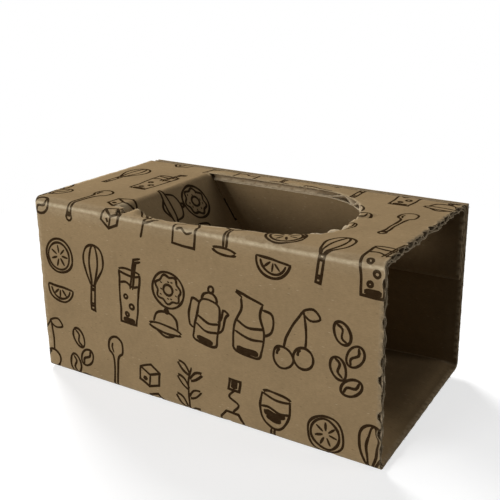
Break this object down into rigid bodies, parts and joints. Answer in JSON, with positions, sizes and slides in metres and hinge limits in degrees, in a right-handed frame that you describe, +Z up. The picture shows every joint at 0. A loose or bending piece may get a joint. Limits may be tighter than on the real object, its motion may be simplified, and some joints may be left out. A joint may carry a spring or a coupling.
{
  "type": "cup carrier",
  "caption": "Corrugated kraft board folded into an open-ended sleeve, with a round-ended opening in its top and a bent-down tongue that hold a hot drink cup upright.",
  "frame": {"origin": "centre of the sleeve's footprint, on the surface it stands on", "axes": "+X along the sleeve from the tongue's hinge towards the rounded end of the opening, +Y from the front panel to the glued back panel, +Z up"},
  "size_m": [0.176, 0.092, 0.087],
  "materials": {
    "kraft_board": "matt brown kraft liner with dark brown line print"
  },
  "bodies": {
    "root": {"sleeve": "kraft_board"}
  },
  "joints": []
}
